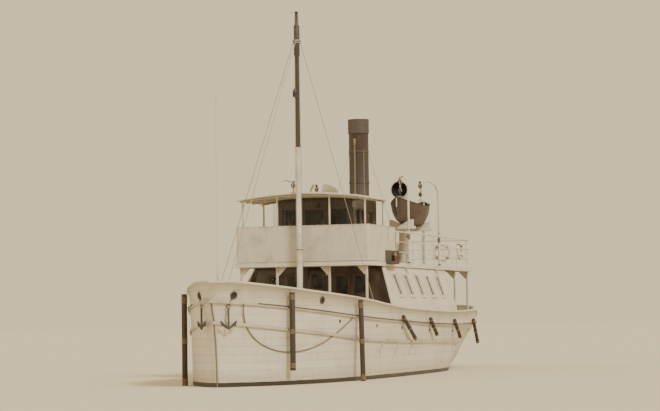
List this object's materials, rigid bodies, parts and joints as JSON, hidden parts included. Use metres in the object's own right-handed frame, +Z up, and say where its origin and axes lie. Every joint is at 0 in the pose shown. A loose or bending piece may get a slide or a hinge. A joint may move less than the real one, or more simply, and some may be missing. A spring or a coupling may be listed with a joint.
{
  "type": "lake passenger steamer",
  "caption": "Small screw passenger steamer with a plumb stem, counter stern, saloon under an upper deck, wheelhouse, tall funnel, boats on davits and hung fenders.",
  "frame": {"origin": "amidships on the centreline, at the height of the load waterline", "axes": "+X towards the bow, +Y to port, +Z up"},
  "size_m": [26.6522, 5.9682, 14],
  "materials": {
    "hull_paint": "satin oil paint, dark below the waterline",
    "white_paint": "satin oil paint on wood and iron",
    "deck_planks": "scrubbed planks with dark seams",
    "varnished_wood": "varnish",
    "canvas": "laced sailcloth",
    "funnel_paint": "flat heat-worn paint",
    "black_iron": "black paint, rusting at its edges",
    "brass": "dulled",
    "wire": "greased wire rope",
    "fender_timber": "tarred, rubbed",
    "rope": "laid hemp",
    "window_glass": "clear, slightly uneven"
  },
  "bodies": {
    "ship": {"hull": "hull_paint", "rub_rail_upper": "hull_paint", "rub_rail_lower": "hull_paint", "bulwark_fore": "hull_paint", "bulwark_aft": "hull_paint", "main_deck": "deck_planks", "upper_deck": "deck_planks", "deck_frame_fore": "white_paint", "deck_frame_aft": "white_paint", "deck_frame_last": "white_paint", "saloon_side_port": "white_paint", "saloon_side_starboard": "white_paint", "saloon_bulkhead_fore": "varnished_wood", "saloon_bulkhead_aft": "white_paint", "engine_casing": "white_paint", "upper_deck_stair": "varnished_wood", "upper_railing_port": "white_paint", "upper_railing_starboard": "white_paint", "upper_railing_aft": "white_paint", "bridge_rail": "white_paint", "bridge_dodger": "canvas", "bridge_roof": "white_paint", "wheelhouse": "varnished_wood", "funnel": "funnel_paint", "steam_whistle": "brass", "engine_skylight": "varnished_wood", "mast": "varnished_wood", "mast_stays": "wire", "jackstaff": "white_paint", "ensign_staff": "white_paint", "lifeboat_port": "white_paint", "lifeboat_starboard": "white_paint", "boat_skid_fore": "white_paint", "boat_skid_aft": "white_paint", "fenders_port": "fender_timber", "fenders_starboard": "fender_timber", "windlass_bitts": "black_iron", "fore_hatch": "varnished_wood", "anchor_port": "black_iron", "anchor_starboard": "black_iron", "upper_deck_bench": "varnished_wood", "sidelight_port": "black_iron", "sidelight_starboard": "black_iron"},
    "propeller": {"propeller": "brass"},
    "rudder": {"rudder": "black_iron"},
    "steering_wheel": {"steering_wheel": "varnished_wood"},
    "saloon_door_fore": {"saloon_door_fore": "varnished_wood"},
    "saloon_door_aft": {"saloon_door_aft": "varnished_wood"},
    "wheelhouse_door_port": {"wheelhouse_door_port": "varnished_wood"},
    "wheelhouse_door_starboard": {"wheelhouse_door_starboard": "varnished_wood"},
    "cowl_port": {"cowl_port": "white_paint"},
    "cowl_starboard": {"cowl_starboard": "white_paint"},
    "skylight_lid_port": {"skylight_lid_port": "varnished_wood"},
    "skylight_lid_starboard": {"skylight_lid_starboard": "varnished_wood"},
    "davit_port_fore": {"davit_port_fore": "white_paint"},
    "davit_port_aft": {"davit_port_aft": "white_paint"},
    "davit_starboard_fore": {"davit_starboard_fore": "white_paint"},
    "davit_starboard_aft": {"davit_starboard_aft": "white_paint"},
    "windlass_barrel": {"windlass_barrel": "black_iron"},
    "fore_hatch_lid": {"fore_hatch_lid": "varnished_wood"}
  },
  "joints": [
    {"name": "propeller_spin", "type": "hinge", "parent": "ship", "child": "propeller", "pos_m": [-9.7, 0, -1.15], "axis": [1, 0, 0], "continuous": true},
    {"name": "rudder_turn", "type": "hinge", "parent": "ship", "child": "rudder", "pos_m": [-10.49, 0, -1], "axis": [0, 0, 1], "range_deg": [-35, 35]},
    {"name": "helm_turn", "type": "hinge", "parent": "ship", "child": "steering_wheel", "pos_m": [1.42, 0, 4.72], "axis": [1, 0, 0], "range_deg": [-361, 361]},
    {"name": "saloon_door_fore_swing", "type": "hinge", "parent": "ship", "child": "saloon_door_fore", "pos_m": [1.95, 0.352, 2.827], "axis": [0, 0, 1], "range_deg": [0, 100]},
    {"name": "saloon_door_aft_swing", "type": "hinge", "parent": "ship", "child": "saloon_door_aft", "pos_m": [-6, 0.352, 2.651], "axis": [0, 0, -1], "range_deg": [0, 100]},
    {"name": "wheelhouse_door_port_swing", "type": "hinge", "parent": "ship", "child": "wheelhouse_door_port", "pos_m": [0.392, 1.3, 4.78], "axis": [0, 0, -1], "range_deg": [0, 100]},
    {"name": "wheelhouse_door_starboard_swing", "type": "hinge", "parent": "ship", "child": "wheelhouse_door_starboard", "pos_m": [0.392, -1.3, 4.78], "axis": [0, 0, 1], "range_deg": [0, 100]},
    {"name": "cowl_port_turn", "type": "hinge", "parent": "ship", "child": "cowl_port", "pos_m": [-4.1, 1.25, 4], "axis": [0, 0, 1], "continuous": true},
    {"name": "cowl_starboard_turn", "type": "hinge", "parent": "ship", "child": "cowl_starboard", "pos_m": [-4.1, -1.25, 4], "axis": [0, 0, 1], "continuous": true},
    {"name": "skylight_lid_port_lift", "type": "hinge", "parent": "ship", "child": "skylight_lid_port", "pos_m": [-4.475, 0.046, 4.9603], "axis": [1, 0, 0], "range_deg": [0, 60]},
    {"name": "skylight_lid_starboard_lift", "type": "hinge", "parent": "ship", "child": "skylight_lid_starboard", "pos_m": [-4.475, -0.046, 4.9603], "axis": [-1, 0, 0], "range_deg": [0, 60]},
    {"name": "davit_port_fore_swing", "type": "hinge", "parent": "ship", "child": "davit_port_fore", "pos_m": [-0.65, 2.43, 3.67], "axis": [0, 0, -1], "range_deg": [0, 115]},
    {"name": "davit_port_aft_swing", "type": "hinge", "parent": "ship", "child": "davit_port_aft", "pos_m": [-4.65, 2.43, 3.67], "axis": [0, 0, 1], "range_deg": [0, 115]},
    {"name": "davit_starboard_fore_swing", "type": "hinge", "parent": "ship", "child": "davit_starboard_fore", "pos_m": [-0.65, -2.43, 3.67], "axis": [0, 0, 1], "range_deg": [0, 115]},
    {"name": "davit_starboard_aft_swing", "type": "hinge", "parent": "ship", "child": "davit_starboard_aft", "pos_m": [-4.65, -2.43, 3.67], "axis": [0, 0, -1], "range_deg": [0, 115]},
    {"name": "windlass_turn", "type": "hinge", "parent": "ship", "child": "windlass_barrel", "pos_m": [9, 0, 2.79435], "axis": [0, 1, 0], "continuous": true},
    {"name": "fore_hatch_lift", "type": "hinge", "parent": "ship", "child": "fore_hatch_lid", "pos_m": [6.82, 0, 2.4782], "axis": [0, 1, 0], "range_deg": [0, 110]}
  ],
  "couplings": [
    {"joint": "helm_turn", "follows": "rudder_turn", "ratio": 10.286}
  ]
}
